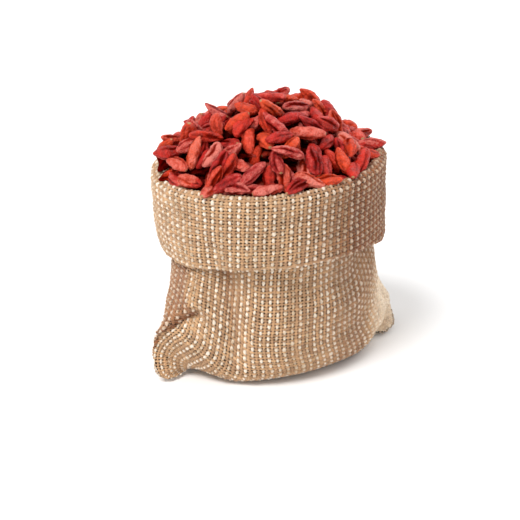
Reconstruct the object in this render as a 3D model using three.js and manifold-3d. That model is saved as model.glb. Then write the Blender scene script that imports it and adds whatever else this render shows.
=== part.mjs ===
// Small burlap sack with its mouth rolled down into a cuff, heaped full of dried goji berries.
// Millimetres, +Z up, standing on z = 0. The sack's two sewn corners point along X and its flat
// panels face -Y (front) and +Y (back).
import * as THREE from 'three';
import { mergeVertices } from 'three/addons/utils/BufferGeometryUtils.js';
import Module from 'manifold-3d';

// Driving dimensions of the sack.
const CLOTH = 1.4; // thickness of one ply of burlap
const RIM_LENGTH = 154; // cloth length from the bottom seam up to the rim, at mid panel
const RIM_TILT = 3.2; // how much higher the rim stands at its right than in its middle
const CUFF_THICK = 3; // the cuff is two plies with a little air between them
const CUFF_GAP = 0.9; // least air between the cuff and the body
const RIM_HEIGHT = 114; // where the body wall ends
const RIM_RISE = 3; // height of the rounded fold above it
const RING_STEPS = 56; // facets round the sack
const WALL_X = 58; // half length and half width of the wall, for its outward direction
const WALL_Y = 54;

// Driving dimensions of the heap.
const MOUTH_X = 60; // half length and half width of the heap's foot
const MOUTH_Y = 55;
const HEAP_HEIGHT = 29; // rise of the dome
const HEAP_POWER = 1.25; // above 1 it slopes out gently at its foot
const HEAP_EDGE = 5; // thickness of the heap at its steep edge
// Where the heap stands higher or lower than the dome: [x, y, rise, half width, half depth].
const SHOULDERS = [[-60, 20, 15, 12, 20], [44, 0, -4, 12, 40], [58, 10, 5, 7, 20]];
const BED_DEPTH = 5.2; // how far the floor that the berries settle on lies under the heap's face
const CORE_DEPTH = 4.6; // the same for the packed core, which they are half sunk in
const LEAST_HOLLOW = 2.8; // a hollow shallower than this takes no more berries
const FILL_GAP = 0.4; // air between the fill and the cloth
const CORNER_GAP = 3; // the same, down in the sack's corners
const CLOTH_CLEARANCE = 0.35; // air between a berry that lies on the rim and the cloth
const BERRY_LENGTH = [14.5, 20];
const BERRY_WIDTH = [6.6, 8.8];
const REACH = 0.97; // how near to the heap's foot a berry's middle may lie
const SINK = 1.1; // how deep a berry is pressed into what it rests on
const MOST_BERRIES = 260;
const SEED = 20352;

// Outlines of the sack by cloth length from the bottom seam: [length, reach, height].
const MID_PANEL = [
  [0, 0, 0], [15, 15, 0], [30, 30, 0], [42, 40, 3.5], [56, 46, 16], [72, 48.5, 32],
  [90, 49, 50], [108, 49, 68], [130, 51.5, 90], [154, 54, 114],
];
const LEFT_SEAM = [
  [0, 69, 0.5], [10, 73.5, 5], [22, 74.5, 16], [36, 72.5, 28], [50, 67, 40], [66, 60, 52],
  [86, 55.5, 67], [106, 55, 80], [130, 56.6, 96], [154, 58, 114],
];
const RIGHT_SEAM = [
  [0, 69, 1], [10, 78, 3.4], [22, 82, 8.8], [36, 84.4, 14.5], [50, 75.5, 26.5], [66, 66.5, 40],
  [86, 61.5, 61], [106, 60.5, 77], [130, 61, 95], [154, 60, 114],
];
// How pinched the corners are (exponent of the cross-section) and how round the ring is.
const LEFT_PINCH = [[0, 1.3], [22, 1.2], [40, 0.95], [60, 0.72], [86, 0.56], [106, 0.5], [154, 0.5]];
const RIGHT_PINCH = [[0, 0.95], [22, 0.76], [40, 0.48], [60, 0.57], [86, 0.5], [106, 0.5], [154, 0.5]];
const ROUNDNESS = [[0, 0], [22, 0.1], [50, 0.5], [80, 0.9], [106, 1], [154, 1]];
// How far the side seam swings towards the front, below 0, or the back on its way up.
const LEFT_SWING = [[0, -10], [10, -8], [22, -4], [36, -5], [47, -9], [58, -5], [74, -1], [154, 0]];
const RIGHT_SWING = [[0, -16.8], [10, -11.5], [22, -1], [36, 9], [50, 6.5], [66, -0.3], [154, 0]];

// The fold of cloth that slumps forward over the left corner: where its ridge stands on the front
// panel low down and higher up, how far it reaches, and the cloth lengths that it spans.
const RIDGE_SHARE = [0.112, 0.062];
const RIDGE_OUT = [-0.44, -0.83];
const RIDGE_TALL = [4.5, 7.5];
const RIDGE_SPAN = [44, 100];

// Share of the way to the right side of the rim, -1 at its left and 1 at its right. The rim hangs
// askew, so its right side is a little forward of +X.
const towardsRight = (x, y) => (0.88 * x - 0.47 * y) / 60;

const lerp = (a, b, t) => a + (b - a) * t;
const bell = (d, width) => Math.exp(-((d / width) ** 2));
function smoothstep(low, high, x) {
  const t = Math.min(1, Math.max(0, (x - low) / (high - low)));
  return t * t * (3 - 2 * t);
}

// Smooth curve through [position, value, ...] keys, read in one column.
function track(keys, at, column = 1) {
  const last = keys.length - 1;
  let i = 0;
  while (i < last - 1 && at > keys[i + 1][0]) i++;
  const slope = (j) => {
    const a = keys[Math.max(0, j - 1)];
    const b = keys[Math.min(last, j + 1)];
    return (b[column] - a[column]) / (b[0] - a[0]);
  };
  const span = keys[i + 1][0] - keys[i][0];
  const t = (at - keys[i][0]) / span;
  const rise = keys[i + 1][column] - keys[i][column];
  const m0 = slope(i) * span;
  const m1 = slope(i + 1) * span;
  return keys[i][column] + m0 * t + (3 * rise - 2 * m0 - m1) * t * t + (m0 + m1 - 2 * rise) * t ** 3;
}

// Folds and dents of the cloth, as an outward displacement. The share runs 0 to 1 across a panel.
function folds(share, front, length) {
  const wall = smoothstep(34, 60, length) * (1 - smoothstep(118, 140, length));
  if (front) {
    const valley = -2.8 * bell(share - 0.245 + 0.0011 * (length - 70), 0.04);
    const bulge = 1.6 * bell(share - 0.14, 0.07) + 1.2 * bell(share - 0.6, 0.22);
    const rightFold = -1.8 * bell(share - 0.93, 0.04) * bell(length - 44, 12);
    return wall * (valley + bulge) + rightFold;
  }
  const valley = -2.2 * bell(share - 0.66 + 0.0008 * (length - 70), 0.06);
  const dent = -1.8 * bell(share - 0.3, 0.05) * bell(length - 64, 22);
  return wall * (valley + 1.4 * bell(share - 0.48, 0.15)) + dent;
}

// How far the front panel stands out in the fold over the left corner.
function leftRidge(share, length) {
  const [low, high] = RIDGE_SPAN;
  const at = lerp(RIDGE_SHARE[0], RIDGE_SHARE[1], smoothstep(63, 72, length));
  const away = share < at ? (at - share) / at : (share - at) / 0.12;
  const tall = lerp(RIDGE_TALL[0], RIDGE_TALL[1], smoothstep(64, 76, length));
  const fade = smoothstep(low, low + 26, length) * (1 - smoothstep(high - 18, high, length));
  return tall * Math.max(0, 1 - away) * fade;
}

// A turn of 0 to 0.5 crosses the front panel from the left seam to the right one, and 0.5 to 1
// the back panel on the way back. Inset moves the surface inwards, for the inner face.
function bodyPoint(turn, length, inset) {
  const front = turn <= 0.5;
  const share = front ? 2 * turn : 2 - 2 * turn;
  const side = lerp(2 * share - 1, -Math.cos(Math.PI * share), track(ROUNDNESS, length));
  const right = (side + 1) / 2;
  const corner = smoothstep(0.45, 1, Math.abs(side));
  const floorShare = 1 - smoothstep(22, 52, length);
  const wallShare = smoothstep(16, 46, length);
  const taper = 1 + 1.7 * (1 - smoothstep(40, 90, length));
  const reachX = lerp(track(LEFT_SEAM, length), track(RIGHT_SEAM, length), right) - inset * taper;
  const reachY = Math.max(0, track(MID_PANEL, length) - inset * wallShare);
  const pinch = lerp(track(LEFT_PINCH, length), track(RIGHT_PINCH, length), right);
  const depth = Math.max(0, 1 - side * side) ** pinch;
  const seamHeight = lerp(track(LEFT_SEAM, length, 2), track(RIGHT_SEAM, length, 2), right);
  const midHeight = Math.max(0, track(MID_PANEL, length, 2));
  const swing = lerp(track(LEFT_SWING, length), track(RIGHT_SWING, length), right);
  const arch = 2 * bell(side + 0.72, 0.1) * (1 - smoothstep(0, 24, length));
  const point = new THREE.Vector3(reachX * side, (front ? -1 : 1) * reachY * depth, 0);
  point.addScaledVector(outwardAt(point), folds(share, front, length));
  if (front) {
    const ridge = leftRidge(share, length);
    point.x += RIDGE_OUT[0] * ridge;
    point.y += RIDGE_OUT[1] * ridge;
  }
  const tilt = RIM_TILT * towardsRight(point.x, point.y);
  point.y += swing * corner * corner;
  point.z = lerp(midHeight, seamHeight, corner) + arch + inset * floorShare;
  point.z += tilt * smoothstep(96, RIM_LENGTH, length);
  return point;
}

// Outward horizontal direction of the sack's wall.
function outwardAt(point) {
  return new THREE.Vector3(point.x / WALL_X ** 2, point.y / WALL_Y ** 2, 0).normalize();
}

// Height of the cuff round the sack: longest on the right.
function cuffHeight(point) {
  const right = towardsRight(point.x, point.y);
  return 39 + 5 * Math.max(0, -right) ** 2 + 10 * Math.max(0, right) ** 6;
}

// How far the cuff's outer face stands off the body, by its share of height above the cuff's edge.
function cuffOffset(point, up) {
  const right = towardsRight(point.x, point.y);
  const edge = 5 + 1.5 * Math.max(0, right) + 0.3 * Math.max(0, -right);
  const belly = 5.6 + 1.6 * Math.max(0, -right) - 0.8 * Math.max(0, right);
  const wave = 0.5 * Math.sin(3 * Math.atan2(point.y, point.x) + 0.8);
  return lerp(edge, belly, Math.sin(Math.PI * Math.min(up, 0.6))) + wave * (1 - up);
}

// A point on the cuff: up runs 0 at its lower edge to 1 at the rim, and outer 0 to 1 from its
// inner face to its outer face.
function cuffPoint(turn, up, outer, extra) {
  const rim = bodyPoint(turn, RIM_LENGTH, 0);
  const drop = cuffHeight(rim) * (1 - up);
  const base = bodyPoint(turn, RIM_LENGTH - drop, 0);
  const offset = Math.max(CUFF_GAP, cuffOffset(rim, up) - (1 - outer) * CUFF_THICK);
  base.addScaledVector(outwardAt(base), offset + (2 * outer - 1) * extra);
  base.z = rim.z - drop;
  return base;
}

// The rounded fold at the rim, from the cuff's outer face (angle 0) to the inner wall (PI).
function rimPoint(turn, angle, extra) {
  const rim = bodyPoint(turn, RIM_LENGTH, 0);
  const outer = cuffOffset(rim, 1);
  const middle = (outer - CLOTH) / 2;
  const radius = (outer + CLOTH) / 2 + extra;
  const at = rim.clone().addScaledVector(outwardAt(rim), middle + radius * Math.cos(angle));
  at.z = rim.z + (RIM_RISE + extra) * Math.sin(angle);
  return at;
}

// Closed mesh from rings of points. The first and last rings close on themselves.
function closeRings(rings, capTop) {
  const count = rings[0].length;
  const positions = rings.flat().flatMap((p) => [p.x, p.y, p.z]);
  const index = [];
  for (let r = 0; r + 1 < rings.length; r++) {
    for (let i = 0; i < count; i++) {
      const a = r * count + i;
      const b = r * count + ((i + 1) % count);
      index.push(a, b, b + count, a, b + count, a + count);
    }
  }
  if (capTop) {
    const apex = positions.length / 3;
    positions.push(capTop.x, capTop.y, capTop.z);
    const top = (rings.length - 1) * count;
    for (let i = 0; i < count; i++) index.push(top + i, top + ((i + 1) % count), apex);
  }
  const geometry = new THREE.BufferGeometry();
  geometry.setAttribute('position', new THREE.Float32BufferAttribute(positions, 3));
  geometry.setIndex(index);
  return dropFlatFaces(mergeVertices(geometry, 1e-3));
}

// Removes the faces that merging has collapsed, as where a ring closes into the bottom seam.
function dropFlatFaces(geometry) {
  const old = geometry.index.array;
  const kept = [];
  for (let i = 0; i < old.length; i += 3) {
    const [a, b, c] = [old[i], old[i + 1], old[i + 2]];
    if (a !== b && b !== c && a !== c) kept.push(a, b, c);
  }
  geometry.setIndex(kept);
  return geometry;
}

const turns = Array.from({ length: RING_STEPS }, (_, i) => i / RING_STEPS);
const ring = (make) => turns.map((turn) => make(turn));

// A ring of the body. At the bottom seam the back panel's points are the front panel's.
function bodyRing(length, inset) {
  const points = ring((turn) => bodyPoint(turn, length, inset));
  if (length > 0) return points;
  return points.map((point, i) => (i > RING_STEPS / 2 ? points[RING_STEPS - i] : point));
}

const OUTER_LEVELS = [0, 8, 18, 30, 37, 44, 52, 62, 74, 88, 102, 118, 132, 142];
const INNER_LEVELS = [140, 124, 106, 88, 70, 54, 44, 36, 30, 16, 0];
const CORE_LEVELS = [0, 16, 36, 54, 88, 124];

// Outer and inner face of the sack in one closed skin: up the body, down and up the cuff, over
// the rim and down the inner wall to the inside of the bottom seam.
function makeSackGeometry(extra = 0) {
  const rings = OUTER_LEVELS.map((length) => bodyRing(length, -extra));
  const cuffRing = (up, outer) => ring((turn) => cuffPoint(turn, up, outer, extra));
  for (const up of [0.86, 0.55, 0.28, 0.06]) rings.push(cuffRing(up, 0));
  rings.push(cuffRing(0, 0.5));
  for (const up of [0.05, 0.22, 0.45, 0.7, 0.9]) rings.push(cuffRing(up, 1));
  for (const share of [0, 0.3, 0.6, 0.85]) {
    rings.push(ring((turn) => rimPoint(turn, share * Math.PI, extra)));
  }
  for (const length of INNER_LEVELS) rings.push(bodyRing(length, CLOTH + extra));
  return closeRings(rings);
}

// Height of the heap's finished face over a point of the mouth: a dome with a steep edge.
function heapHeight(x, y) {
  const rho2 = ((x - 0.8) / MOUTH_X) ** 2 + (y / MOUTH_Y) ** 2;
  const edge = HEAP_EDGE * Math.max(0, 1 - rho2 ** 4);
  const dome = HEAP_HEIGHT * Math.max(0, 1 - rho2) ** HEAP_POWER;
  let lumps = 0.9 * Math.sin(0.13 * x + 1.1) * Math.cos(0.11 * y + 0.4);
  for (const [atX, atY, rise, wide, deep] of SHOULDERS) {
    lumps += rise * bell(x - atX, wide) * bell(y - atY, deep);
  }
  return RIM_HEIGHT + edge + dome + lumps;
}

// The packed berries inside the sack, up to a core just under the heap's face. It is hidden, so
// it has half the facets of the sack.
function makeFillGeometry() {
  const inset = (length) => CLOTH + lerp(CORNER_GAP, FILL_GAP, smoothstep(24, 60, length));
  const coarse = (length) => bodyRing(length, inset(length)).filter((_, i) => i % 2 === 0);
  const rings = CORE_LEVELS.map(coarse);
  const wall = coarse(RIM_LENGTH);
  for (const share of [0.97, 0.72, 0.38]) {
    rings.push(wall.map((p) => {
      const [x, y] = [p.x * share, p.y * share];
      return new THREE.Vector3(x, y, heapHeight(x, y) - CORE_DEPTH);
    }));
  }
  return closeRings(rings, new THREE.Vector3(0, 0, heapHeight(0, 0) - CORE_DEPTH));
}

// Repeatable random numbers from 0 to 1.
function makeRandom(seed) {
  let state = seed;
  return () => {
    state = (state * 16807) % 2147483647;
    return state / 2147483647;
  };
}

// Half width of a berry along its length, as a share of its widest, for t from -1 to 1.
const berryProfile = (t) => Math.max(0, 1 - Math.abs(t) ** 2.2) ** 0.62;

// Heights of the heap on a square grid while it is being filled.
class HeightField {
  constructor(half, cell) {
    this.half = half;
    this.cell = cell;
    this.count = Math.round((2 * half) / cell) + 1;
    this.values = new Float64Array(this.count ** 2);
    for (let j = 0; j < this.count; j++) {
      for (let i = 0; i < this.count; i++) {
        this.values[j * this.count + i] = this.start(i * cell - half, j * cell - half);
      }
    }
  }

  // The bed inside the mouth, the cloth's fold on the rim, and a wall beyond it.
  start(x, y) {
    const rho = Math.hypot(x / MOUTH_X, y / MOUTH_Y);
    const tilt = RIM_TILT * towardsRight(x, y);
    if (rho < 0.95) return heapHeight(x, y) - BED_DEPTH;
    if (rho < 1.1) return RIM_HEIGHT + tilt + RIM_RISE + CLOTH_CLEARANCE;
    return 1000;
  }

  at(x, y) {
    const i = Math.round((x + this.half) / this.cell);
    const j = Math.round((y + this.half) / this.cell);
    if (i < 0 || j < 0 || i >= this.count || j >= this.count) return 1000;
    return this.values[j * this.count + i];
  }

  raise(x, y, height) {
    const i = Math.round((x + this.half) / this.cell);
    const j = Math.round((y + this.half) / this.cell);
    const k = j * this.count + i;
    if (i >= 0 && j >= 0 && i < this.count && j < this.count && this.values[k] < height) {
      this.values[k] = height;
    }
  }
}

const STATIONS = [-0.86, -0.5, 0, 0.5, 0.86];
const PITCHES = [-52, -38, -24, -12, 0, 12, 24, 38, 52];

// Lowest resting place of a berry over (x, y) when it lies along yaw: [height, pitch].
function restPose(field, berry, x, y, yaw) {
  const [c, s] = [Math.cos(yaw), Math.sin(yaw)];
  let best = [Infinity, 0];
  for (const degrees of PITCHES) {
    const pitch = (degrees * Math.PI) / 180;
    const [run, climb] = [Math.cos(pitch), Math.sin(pitch)];
    let height = -Infinity;
    for (const t of STATIONS) {
      const along = (t * berry.length) / 2;
      const r = (berry.width / 2) * berryProfile(t);
      for (const across of [-0.65, 0, 0.65]) {
        const px = x + along * run * c - across * r * s;
        const py = y + along * run * s + across * r * c;
        const under = r * Math.sqrt(1 - across * across) * berry.flat;
        height = Math.max(height, field.at(px, py) + under - along * climb);
      }
    }
    height += 0.004 * Math.abs(degrees);
    if (height < best[0]) best = [height, pitch];
  }
  return best;
}

// Raises the field to the top of a berry that has come to rest.
function stamp(field, berry) {
  const [c, s] = [Math.cos(berry.yaw), Math.sin(berry.yaw)];
  const [run, climb] = [Math.cos(berry.pitch), Math.sin(berry.pitch)];
  const steps = Math.ceil(berry.length / 0.7);
  for (let k = 0; k <= steps; k++) {
    const t = (2 * k) / steps - 1;
    const along = (t * berry.length) / 2;
    const r = (berry.width / 2) * berryProfile(t);
    for (let across = -0.95; across <= 0.96; across += 0.19) {
      const top = berry.z + along * climb + r * berry.flat * Math.sqrt(1 - across * across);
      const [forward, sideways] = [along * run, across * r];
      field.raise(berry.x + forward * c - sideways * s, berry.y + forward * s + sideways * c, top);
    }
  }
}

// Fills the heap berry by berry: each goes where the heap is furthest below its finished face,
// turned the way in which it settles lowest.
function layOutBerries() {
  const random = makeRandom(SEED);
  const between = ([low, high]) => lerp(low, high, random());
  const field = new HeightField(72, 1);
  const berries = [];
  while (berries.length < MOST_BERRIES) {
    let place = null;
    for (let k = 0; k < 40; k++) {
      const rho = Math.sqrt(random());
      const angle = 2 * Math.PI * random();
      const x = REACH * MOUTH_X * rho * Math.cos(angle);
      const y = REACH * MOUTH_Y * rho * Math.sin(angle);
      const short = heapHeight(x, y) - field.at(x, y);
      if (!place || short > place.short) place = { x, y, short };
    }
    const berry = {
      length: between(BERRY_LENGTH), width: between(BERRY_WIDTH), flat: between([0.74, 0.96]),
      bend: between([-1.3, 1.3]), roll: between([0, Math.PI]), x: place.x, y: place.y,
    };
    const spin = random() * Math.PI;
    let best = [Infinity, 0];
    for (let k = 0; k < 4; k++) {
      const yaw = spin + (k * Math.PI) / 4;
      const [height, pitch] = restPose(field, berry, place.x, place.y, yaw);
      if (height < best[0]) best = [height, pitch, yaw];
    }
    if (place.short < LEAST_HOLLOW) break;
    Object.assign(berry, { z: best[0] - SINK, pitch: best[1], yaw: best[2] });
    if (best[0] > place.short + field.at(place.x, place.y) + 8) {
      field.raise(place.x, place.y, heapHeight(place.x, place.y));
      continue;
    }
    stamp(field, berry);
    berries.push(berry);
  }
  return berries;
}

// A berry as a four-sided spindle, a little bent and flattened.
function makeBerryGeometry(berry) {
  const sides = 4;
  const half = berry.length / 2;
  const rings = [-0.45, 0.45].map((t) => {
    const r = (berry.width / 2) * berryProfile(t) * 1.12;
    return Array.from({ length: sides }, (_, i) => {
      const angle = berry.roll + (2 * Math.PI * i) / sides;
      const bend = berry.bend * (1 - t * t);
      return new THREE.Vector3(t * half, r * Math.cos(angle) + bend, r * berry.flat * Math.sin(angle));
    });
  });
  const positions = rings.flat().flatMap((p) => [p.x, p.y, p.z]);
  const [tail, tip] = [positions.length / 3, positions.length / 3 + 1];
  positions.push(-half, 0, 0, half, 0, 0);
  const index = [];
  for (let i = 0; i < sides; i++) {
    const next = (i + 1) % sides;
    index.push(tail, next, i);
    index.push(i, next, next + sides, i, next + sides, i + sides);
    index.push(tip, sides + i, sides + next);
  }
  const geometry = new THREE.BufferGeometry();
  geometry.setAttribute('position', new THREE.Float32BufferAttribute(positions, 3));
  geometry.setIndex(index);
  const euler = new THREE.Euler(0, -berry.pitch, berry.yaw, 'ZYX');
  const turned = new THREE.Matrix4().makeRotationFromEuler(euler);
  turned.setPosition(berry.x, berry.y, berry.z);
  return geometry.applyMatrix4(turned);
}

const wasm = await Module();
wasm.setup();

function toSolid(geometry) {
  const position = new Float32Array(geometry.attributes.position.array);
  const triVerts = new Uint32Array(geometry.index.array);
  return new wasm.Manifold(new wasm.Mesh({ numProp: 3, vertProperties: position, triVerts }));
}

function toGeometry(solid) {
  const mesh = solid.getMesh();
  const geometry = new THREE.BufferGeometry();
  geometry.setAttribute('position', new THREE.Float32BufferAttribute(mesh.vertProperties, 3));
  geometry.setIndex(new THREE.BufferAttribute(mesh.triVerts, 1));
  return geometry;
}

// Joins the berries to the fill and to each other, clear of the cloth.
function makeBerriesGeometry() {
  let heap = toSolid(makeFillGeometry());
  for (const berry of layOutBerries()) heap = heap.add(toSolid(makeBerryGeometry(berry)));
  const clear = heap.subtract(toSolid(makeSackGeometry(CLOTH_CLEARANCE)));
  const bodies = clear.decompose().sort((a, b) => b.volume() - a.volume());
  return toGeometry(bodies[0]);
}

const burlap = new THREE.MeshStandardMaterial({ color: 0xb98f5f, roughness: 0.92, metalness: 0 });
const berrySkin = new THREE.MeshStandardMaterial({ color: 0xb52a22, roughness: 0.55, metalness: 0 });

const part = new THREE.Group();
const sack = new THREE.Mesh(makeSackGeometry(), burlap);
sack.name = 'sack';
part.add(sack);
const berries = new THREE.Mesh(makeBerriesGeometry(), berrySkin);
berries.name = 'berries';
part.add(berries);

// The origin is the middle of the footprint's box, on the surface that the sack stands on.
const box = new THREE.Box3().setFromObject(part);
const middle = box.getCenter(new THREE.Vector3());
part.position.set(-middle.x, -middle.y, -box.min.z);

export default part;
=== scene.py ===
"""Looks of a small burlap sack, its mouth rolled down into a cuff, heaped with dried goji berries.

Shapes are worked out in millimetres, in the loft's own frame, and placed on the CAD sack.
"""
import math

import bpy
import numpy as np
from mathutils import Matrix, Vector


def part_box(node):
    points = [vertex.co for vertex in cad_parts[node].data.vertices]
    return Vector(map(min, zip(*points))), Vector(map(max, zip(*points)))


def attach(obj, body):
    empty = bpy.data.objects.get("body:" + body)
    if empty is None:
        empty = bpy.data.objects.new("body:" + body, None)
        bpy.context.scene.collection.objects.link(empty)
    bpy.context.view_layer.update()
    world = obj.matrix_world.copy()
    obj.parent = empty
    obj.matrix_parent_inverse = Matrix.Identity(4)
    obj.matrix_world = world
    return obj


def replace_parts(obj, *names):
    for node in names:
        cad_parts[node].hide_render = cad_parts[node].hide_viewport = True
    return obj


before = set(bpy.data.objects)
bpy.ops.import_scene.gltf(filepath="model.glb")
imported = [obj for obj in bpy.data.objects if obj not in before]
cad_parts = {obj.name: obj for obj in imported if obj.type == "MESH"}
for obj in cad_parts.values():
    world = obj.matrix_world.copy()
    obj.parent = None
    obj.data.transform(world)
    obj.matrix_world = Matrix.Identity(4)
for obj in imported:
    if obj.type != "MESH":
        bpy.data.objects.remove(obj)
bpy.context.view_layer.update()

MM = 0.001

# The sack, as in the CAD model.
CLOTH = 1.4
RIM_LENGTH = 154
RIM_HEIGHT = 114
RIM_RISE = 3
RIM_TILT = 3.2
CUFF_GAP = 0.9
CUFF_FOLD = 1.9
YARN_ROOM = 0.9
WALL_X, WALL_Y = 58, 54
MID_PANEL = [
    (0, 0, 0), (15, 15, 0), (30, 30, 0), (42, 40, 3.5), (56, 46, 16), (72, 48.5, 32),
    (90, 49, 50), (108, 49, 68), (130, 51.5, 90), (154, 54, 114),
]
LEFT_SEAM = [
    (0, 69, 0.5), (10, 73.5, 5), (22, 74.5, 16), (36, 72.5, 28), (50, 67, 40), (66, 60, 52),
    (86, 55.5, 67), (106, 55, 80), (130, 56.6, 96), (154, 58, 114),
]
RIGHT_SEAM = [
    (0, 69, 1), (10, 78, 3.4), (22, 82, 8.8), (36, 84.4, 14.5), (50, 75.5, 26.5), (66, 66.5, 40),
    (86, 61.5, 61), (106, 60.5, 77), (130, 61, 95), (154, 60, 114),
]
LEFT_PINCH = [(0, 1.3), (22, 1.2), (40, 0.95), (60, 0.72), (86, 0.56), (106, 0.5), (154, 0.5)]
RIGHT_PINCH = [(0, 0.95), (22, 0.76), (40, 0.48), (60, 0.57), (86, 0.5), (106, 0.5), (154, 0.5)]
ROUNDNESS = [(0, 0), (22, 0.1), (50, 0.5), (80, 0.9), (106, 1), (154, 1)]
LEFT_SWING = [(0, -10), (10, -8), (22, -4), (36, -5), (47, -9), (58, -5), (74, -1), (154, 0)]
RIGHT_SWING = [(0, -16.8), (10, -11.5), (22, -1), (36, 9), (50, 6.5), (66, -0.3), (154, 0)]

# The fold down the front panel: its share of the panel, and how that drifts with cloth length.
VALLEY_SHARE = 0.245
VALLEY_DRIFT = 0.0011
VALLEY_LEVEL = 70

# The crease under the left flap, as (share of the panel, cloth length from the base).
LEFT_CREASE = [
    (0, 27), (0.009, 31.6), (0.018, 42.2), (0.034, 47.6), (0.061, 53.6), (0.094, 59.2), (0.125, 65.4),
]

RIDGE_DIRECTION = np.array([-0.44, -0.83, 0])

# The heap, as in the CAD model.
MOUTH_X, MOUTH_Y = 60, 55
HEAP_HEIGHT = 29
HEAP_POWER = 1.25
HEAP_EDGE = 5
SHOULDERS = [(-60, 20, 15, 12, 20), (44, 0, -4, 12, 40), (58, 10, 5, 7, 20)]
BED_DEPTH = 5.2
LEAST_HOLLOW = 2.8
CLOTH_CLEARANCE = 0.35
BERRY_LENGTH = (14.5, 20)
BERRY_WIDTH = (6.6, 8.8)
REACH = 0.97
SINK = 1.1
DEEP_SINK = 2.4

# Berries on the rim's fold: where they lie, and how high and how steep.
RIM_X, RIM_Y = 57.5, 53.5
RIM_BERRY_LIFT = 0.36
RIM_BERRY_PITCH = 0.12
RIM_BERRY_BEND = 0.6
RIM_BERRY_FLAT = 0.85

# Each one's angle round the rim from +X towards the front, yaw, length and width.
RIM_BERRIES = [
    (176, 80, 17, 8), (163, -65, 15, 8.4), (147, 25, 19, 7.6), (133, -52, 14.5, 8), (117, -12, 17, 7.4),
    (101, 20, 18, 8), (84, -30, 16, 7.6), (64, 55, 17, 7.8), (20, -35, 17, 8), (3, 15, 16, 7.6),
    (-16, -50, 18, 8), (-34, 30, 17, 8.2), (-52, -10, 18, 7.8), (-71, 25, 16, 8), (-92, -20, 18, 8),
]

# Rings of the layer below: number of berries, share of the mouth, depth under the heap's face.
LOWER_RINGS = [
    (32, 0.88, 7), (30, 0.865, 8), (34, 0.82, 9.5), (32, 0.79, 6.8), (28, 0.69, 7), (22, 0.57, 7),
    (16, 0.43, 7), (10, 0.27, 7), (4, 0.1, 7),
]
SEED = 20352

# Chance tip, sinking and lift of the laid out berries.
TIP = 0.28
LOOSE_SINK, LOOSE_LIFT = 0.7, 0.5

# Folds along a berry's skin: least and greatest depth as a share of its half width, and breadth.
FOLDS = [
    (0.16, 0.38, 0.34), (0.1, 0.32, 0.28), (0.1, 0.3, 0.25), (0.08, 0.26, 0.22), (0.06, 0.22, 0.2),
    (0.04, 0.2, 0.18),
]

# Fine ripples of the skin: how many go round it, and how fast they turn along it.
RIPPLES = [(7, 5), (11, 9), (5, 13), (3, 19)]

# Colours of the skin in its folds and on its ridges, from the darkest berry to the brightest.
# Darker in the folds and lighter on the ridges: partly the skin's own colour, partly painted shade and
# light.
FOLD_SKIN_AND_SHADE = [(0.0, (0.1, 0.003, 0.002)), (0.6, (0.18, 0.006, 0.002)), (1.0, (0.28, 0.014, 0.003))]
RIDGE_SKIN_AND_LIGHT = [(0.0, (0.62, 0.013, 0.01)), (0.5, (0.83, 0.035, 0.014)), (1.0, (0.96, 0.09, 0.016))]
# Pale bloom on the ridges: partly real, partly painted highlight.
BLOOM_AND_HIGHLIGHT = (0.9, 0.3, 0.24)
SCAR = (0.55, 0.3, 0.13)
# Painted shade for skin sunk deep in the heap.
SHADED = (0.24, 0.08, 0.07)

# The weave: half widths and thicknesses of its yarns, and how far they wander sideways.
PANEL_WARPS = 83
WEFT_PITCH = 1.8
ROW = WEFT_PITCH / 2
WARP_PITCH = 2.1
WARPS = [("white", 0.76, 0.62), ("tan", 0.76, 0.54)]
WEFT_WIDTH, WEFT_THICK = 0.62, 0.5
WARP_WANDER, WEFT_WANDER = 0.24, 0.16
WEFT_STEP = 1.15
STRAND_CORNERS = np.radians([-12, 55, 125, 192])
CRIMP = 0.56
GROUND_DEPTH = 0.35
BASE_LIFT = 1.42
EAR_TWIST = 0.055
BODY_TOP = 122
CUFF_FROM, CUFF_TO = -22.5, 62

# Tints for painted shade (and the left flap's browner cloth) and painted light on the cloth, and each
# yarn's own: dark, light and worn.
SHADE_AND_BROWN_TINT = (0.46, 0.265, 0.13)
# Painted light, used only on the right ear.
PAINTED_LIGHT_TINT = (1.0, 0.83, 0.63)
WHITE_YARN = ((0.6, 0.45, 0.3), (0.98, 0.89, 0.77), (0.64, 0.46, 0.28))
TAN_YARN = ((0.31, 0.14, 0.05), (0.61, 0.33, 0.145), (0.8, 0.55, 0.335))
WEFT_YARN = ((0.32, 0.15, 0.055), (0.63, 0.355, 0.16), (0.84, 0.6, 0.38))
FIBRE_YARN = ((0.52, 0.34, 0.17), (0.86, 0.68, 0.45), (0.7, 0.5, 0.3))

# Loose fibres, and the rows of each grid that they stand on.
FIBRES = 2200
BODY_FIBRE_ROWS = (4, 92)
CUFF_FIBRE_ROWS = (17, 72)
FIBRE_LENGTH = (1.4, 4)
FIBRE_RADIUS = 0.1

# The camera, with the pixels of the rim's middle and of the picture's, and a pixel's size there.
AZIMUTH, ELEVATION = -28, 20
DISTANCE = 0.8
RIM_PIXEL = (269, 159)
MIDDLE_PIXEL = 260
PIXEL = 0.00055
RIM_MIDDLE = 0.117
LENS = 100.7


def lerp(a, b, t):
    return a + (b - a) * t


def bell(d, width):
    return np.exp(-((d / width) ** 2))


def smoothstep(low, high, x):
    t = np.clip((x - low) / (high - low), 0, 1)
    return t * t * (3 - 2 * t)


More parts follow.
